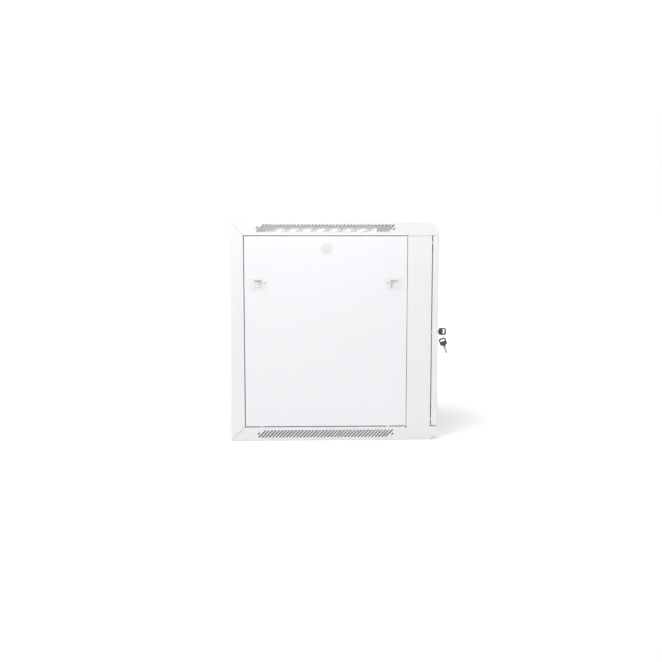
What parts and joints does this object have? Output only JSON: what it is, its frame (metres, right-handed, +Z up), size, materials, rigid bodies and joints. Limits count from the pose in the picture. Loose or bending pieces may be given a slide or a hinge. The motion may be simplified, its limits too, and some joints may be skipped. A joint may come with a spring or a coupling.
{
  "type": "wall-mounted network rack cabinet",
  "caption": "Light grey steel wall-mounted 19-inch network cabinet with glazed door, lock and keys, vented covers, latched side panels and sliding rack rails.",
  "frame": {"origin": "centre of the footprint, on the underside of the bottom cover", "axes": "+Z up, +Y towards the wall behind the cabinet (the door faces -Y), +X towards the hinge side, on the right as one faces the door"},
  "size_m": [0.6032, 0.6351, 0.635],
  "materials": {
    "powder_coat": "fine orange-peel powder coat, satin",
    "panel_coat": "fine orange-peel powder coat, satin",
    "white_plastic": "fine spark-eroded texture",
    "galvanised": "galvanised, dull",
    "black_rail": "black powder coat, satin",
    "zinc": "bright zinc plate",
    "nickel": "nickel plate, polished",
    "glass": "toughened, lightly tinted",
    "rubber": "matt",
    "clear_rubber": "translucent",
    "black_plastic": "moulded, semi-gloss"
  },
  "bodies": {
    "cabinet": {"top_cover": "powder_coat", "bottom_cover": "powder_coat", "back_panel": "powder_coat", "front_pillar_left": "powder_coat", "front_pillar_right": "powder_coat", "top_cable_cover": "powder_coat", "bottom_cable_cover": "powder_coat", "rear_cable_cover": "powder_coat", "earth_stud": "zinc", "hinge_pin_bottom": "zinc", "depth_bar_top_left": "galvanised", "depth_bar_top_right": "galvanised", "depth_bar_bottom_left": "galvanised", "depth_bar_bottom_right": "galvanised", "door_bumper_top": "clear_rubber", "door_bumper_middle": "clear_rubber", "door_bumper_bottom": "clear_rubber"},
    "door": {"door_frame": "powder_coat", "door_glass": "glass", "door_gasket": "rubber", "lock_body": "nickel", "lock_nut": "zinc", "glass_clip_top_left": "galvanised", "glass_clip_top_right": "galvanised", "glass_clip_bottom_left": "galvanised", "glass_clip_bottom_right": "galvanised"},
    "lock": {"lock_cylinder": "nickel", "lock_cam": "zinc", "cam_screw": "zinc"},
    "key": {"key_bow": "black_plastic", "key_blade": "nickel"},
    "ring": {"key_ring": "nickel"},
    "spare_key": {"spare_key_bow": "black_plastic", "spare_key_blade": "nickel"},
    "upper_hinge_pin": {"hinge_pin_top": "zinc"},
    "panel_left": {"side_panel_left": "panel_coat", "lock_plug_left": "white_plastic", "latch_housing_left_front": "white_plastic", "latch_housing_left_rear": "white_plastic"},
    "latch_left_front": {"latch_slider_left_front": "white_plastic"},
    "latch_left_rear": {"latch_slider_left_rear": "white_plastic"},
    "panel_right": {"side_panel_right": "panel_coat", "lock_plug_right": "white_plastic", "latch_housing_right_front": "white_plastic", "latch_housing_right_rear": "white_plastic"},
    "latch_right_front": {"latch_slider_right_front": "white_plastic"},
    "latch_right_rear": {"latch_slider_right_rear": "white_plastic"},
    "mount_front_left": {"rail_front_left": "black_rail", "rail_bolt_front_left_top": "zinc", "rail_bolt_front_left_bottom": "zinc"},
    "mount_front_right": {"rail_front_right": "black_rail", "rail_bolt_front_right_top": "zinc", "rail_bolt_front_right_bottom": "zinc"},
    "mount_rear_left": {"rail_rear_left": "black_rail", "rail_bolt_rear_left_top": "zinc", "rail_bolt_rear_left_bottom": "zinc"},
    "mount_rear_right": {"rail_rear_right": "black_rail", "rail_bolt_rear_right_top": "zinc", "rail_bolt_rear_right_bottom": "zinc"}
  },
  "joints": [
    {"name": "door_swing", "type": "hinge", "parent": "cabinet", "child": "door", "pos_m": [0.292, -0.291, 0.31775], "axis": [0, 0, 1], "range_deg": [0, 180]},
    {"name": "lock_turn", "type": "hinge", "parent": "door", "child": "lock", "pos_m": [-0.258, -0.3, 0.314], "axis": [0, 1, 0], "range_deg": [0, 90]},
    {"name": "key_pull", "type": "slide", "parent": "lock", "child": "key", "axis": [0, -1, 0], "range_m": [0, 0.028]},
    {"name": "key_ring_swing", "type": "hinge", "parent": "key", "child": "ring", "pos_m": [-0.258, -0.3234, 0.30875], "axis": [1, 0, 0], "range_deg": [-50, 10]},
    {"name": "spare_key_swing", "type": "hinge", "parent": "ring", "child": "spare_key", "pos_m": [-0.258, -0.32404, 0.29036], "axis": [1, 0, 0], "range_deg": [-40, 8]},
    {"name": "hinge_pin_draw", "type": "slide", "parent": "door", "child": "upper_hinge_pin", "axis": [0, 0, -1], "range_m": [0, 0.008], "stiffness_N_per_m": 600, "springref_m": -0.004},
    {"name": "side_panel_left_tilt", "type": "hinge", "parent": "cabinet", "child": "panel_left", "pos_m": [-0.2988, 0.02525, 0.039], "axis": [0, -1, 0], "range_deg": [0, 30]},
    {"name": "latch_left_front_slide", "type": "slide", "parent": "panel_left", "child": "latch_left_front", "axis": [0, -1, 0], "range_m": [0, 0.006]},
    {"name": "latch_left_rear_slide", "type": "slide", "parent": "panel_left", "child": "latch_left_rear", "axis": [0, 1, 0], "range_m": [0, 0.006]},
    {"name": "side_panel_right_tilt", "type": "hinge", "parent": "cabinet", "child": "panel_right", "pos_m": [0.2988, 0.02525, 0.039], "axis": [0, 1, 0], "range_deg": [0, 30]},
    {"name": "latch_right_front_slide", "type": "slide", "parent": "panel_right", "child": "latch_right_front", "axis": [0, -1, 0], "range_m": [0, 0.006]},
    {"name": "latch_right_rear_slide", "type": "slide", "parent": "panel_right", "child": "latch_right_rear", "axis": [0, 1, 0], "range_m": [0, 0.006]},
    {"name": "rail_front_left_slide", "type": "slide", "parent": "cabinet", "child": "mount_front_left", "axis": [0, 1, 0], "range_m": [0, 0.15]},
    {"name": "rail_front_right_slide", "type": "slide", "parent": "cabinet", "child": "mount_front_right", "axis": [0, 1, 0], "range_m": [0, 0.15]},
    {"name": "rail_rear_left_slide", "type": "slide", "parent": "cabinet", "child": "mount_rear_left", "axis": [0, -1, 0], "range_m": [0, 0.1]},
    {"name": "rail_rear_right_slide", "type": "slide", "parent": "cabinet", "child": "mount_rear_right", "axis": [0, -1, 0], "range_m": [0, 0.1]}
  ],
  "couplings": [
    {"joint": "rail_front_right_slide", "follows": "rail_front_left_slide", "ratio": 1},
    {"joint": "rail_rear_right_slide", "follows": "rail_rear_left_slide", "ratio": 1}
  ]
}
